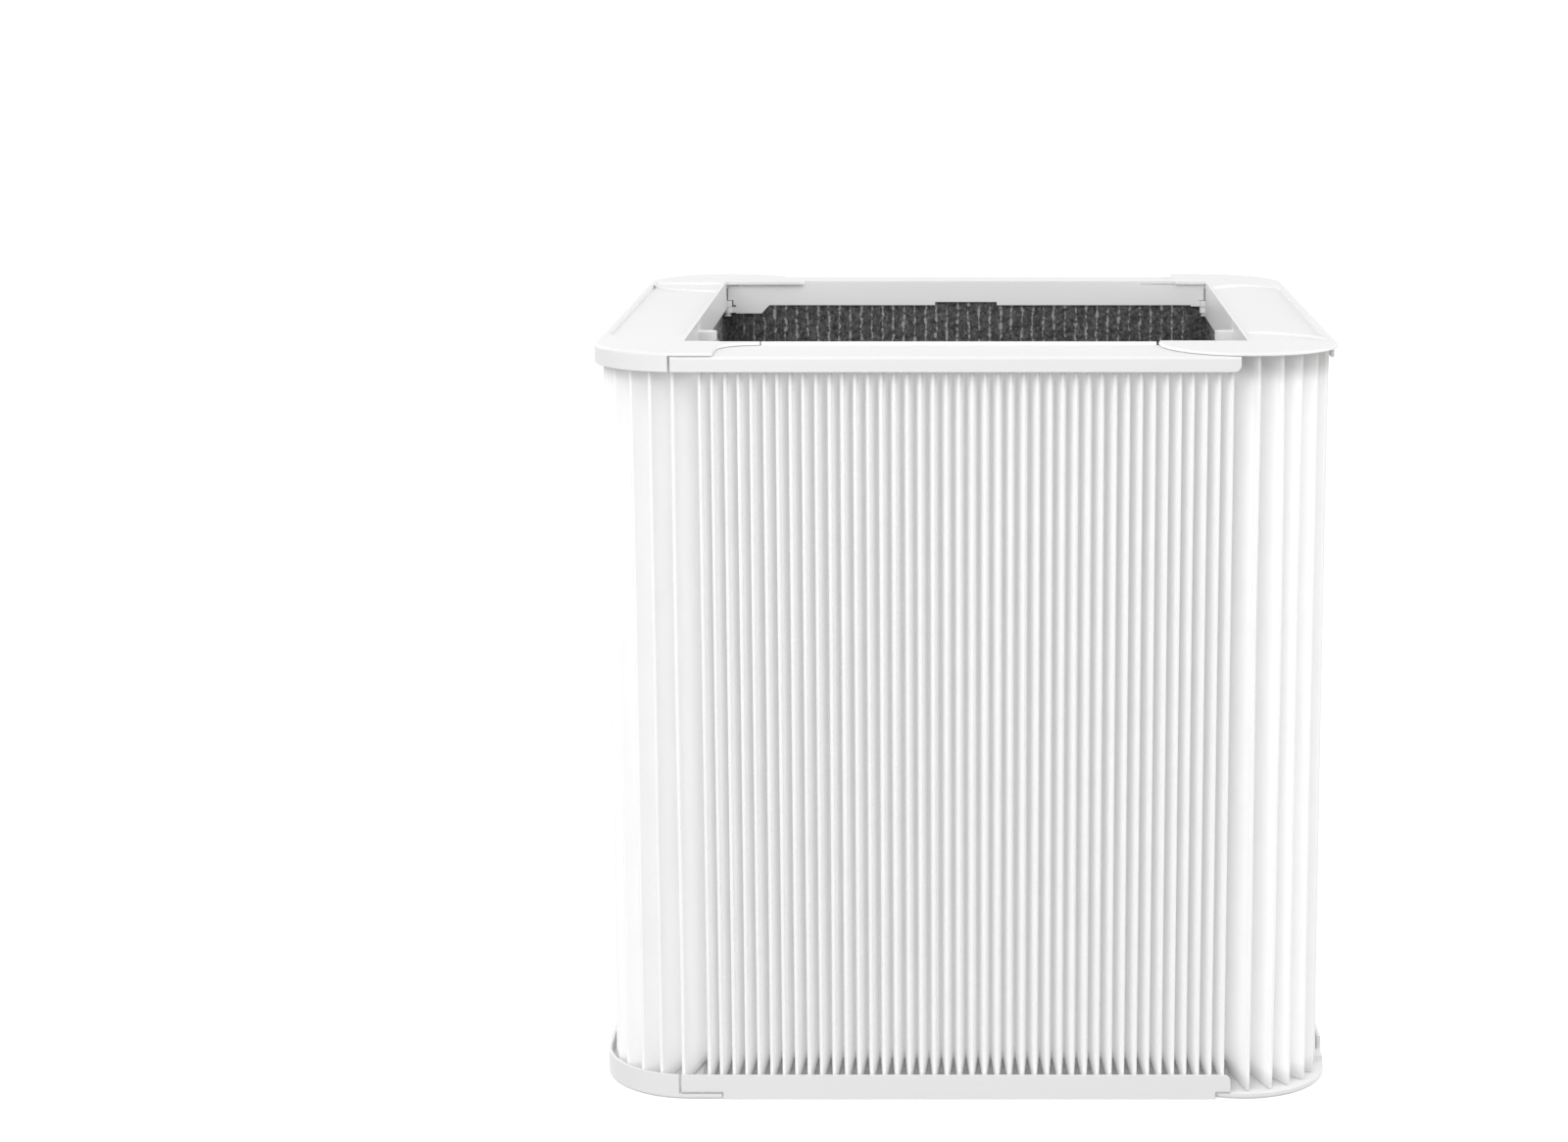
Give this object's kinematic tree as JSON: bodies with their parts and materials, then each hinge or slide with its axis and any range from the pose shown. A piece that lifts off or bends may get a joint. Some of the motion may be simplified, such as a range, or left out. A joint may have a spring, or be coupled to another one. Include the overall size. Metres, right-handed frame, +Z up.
{
  "type": "air purifier filter cartridge",
  "caption": "Square pleated air purifier filter cartridge with a black carbon liner, open through the middle, in white end frames hinged to fold flat.",
  "frame": {"origin": "middle of the underside, on the surface that the cartridge stands on", "axes": "+X to the right and +Y to the rear across the air passage, +Z up along it"},
  "size_m": [0.316, 0.316, 0.324],
  "materials": {
    "frame": "satin moulded",
    "pleats": "nonwoven filter paper",
    "carbon": "carbon granules in mesh",
    "glue": "hot melt",
    "pins": "satin moulded"
  },
  "bodies": {
    "rear": {"top_rear_bar": "frame", "bottom_rear_bar": "frame", "rear_pleats": "pleats", "rear_carbon_liner": "carbon", "rear_glue_beads": "glue", "rear_left_corner_pleats_rear": "pleats"},
    "left": {"top_left_bar": "frame", "bottom_left_bar": "frame", "left_pleats": "pleats", "left_carbon_liner": "carbon", "left_glue_beads": "glue", "rear_left_corner_pleats_side": "pleats", "front_left_corner_pleats": "pleats", "rear_left_hinge_pins": "pins", "front_left_hinge_pins": "pins"},
    "right": {"top_right_bar": "frame", "bottom_right_bar": "frame", "right_pleats": "pleats", "right_carbon_liner": "carbon", "right_glue_beads": "glue", "rear_right_corner_pleats": "pleats", "front_right_corner_pleats_side": "pleats", "rear_right_hinge_pins": "pins", "front_right_hinge_pins": "pins"},
    "front": {"top_front_bar": "frame", "bottom_front_bar": "frame", "front_pleats": "pleats", "front_carbon_liner": "carbon", "front_glue_beads": "glue", "front_right_corner_pleats_front": "pleats"}
  },
  "joints": [
    {"name": "fold", "type": "hinge", "parent": "rear", "child": "left", "pos_m": [-0.12, 0.12, 0.162], "axis": [0, 0, -1], "range_deg": [0, 76], "deforming": ["rear_left_corner_pleats_rear", "rear_left_corner_pleats_side"]},
    {"name": "right_hinge", "type": "hinge", "parent": "rear", "child": "right", "pos_m": [0.12, 0.12, 0.162], "axis": [0, 0, -1], "range_deg": [0, 76], "deforming": ["rear_right_corner_pleats", "front_right_corner_pleats_side"]},
    {"name": "front_hinge", "type": "hinge", "parent": "left", "child": "front", "pos_m": [-0.12, -0.12, 0.162], "axis": [0, 0, -1], "range_deg": [-76, 0], "deforming": ["front_left_corner_pleats", "front_right_corner_pleats_front"]}
  ],
  "couplings": [
    {"joint": "right_hinge", "follows": "fold", "ratio": 1},
    {"joint": "front_hinge", "follows": "fold", "ratio": -1}
  ]
}
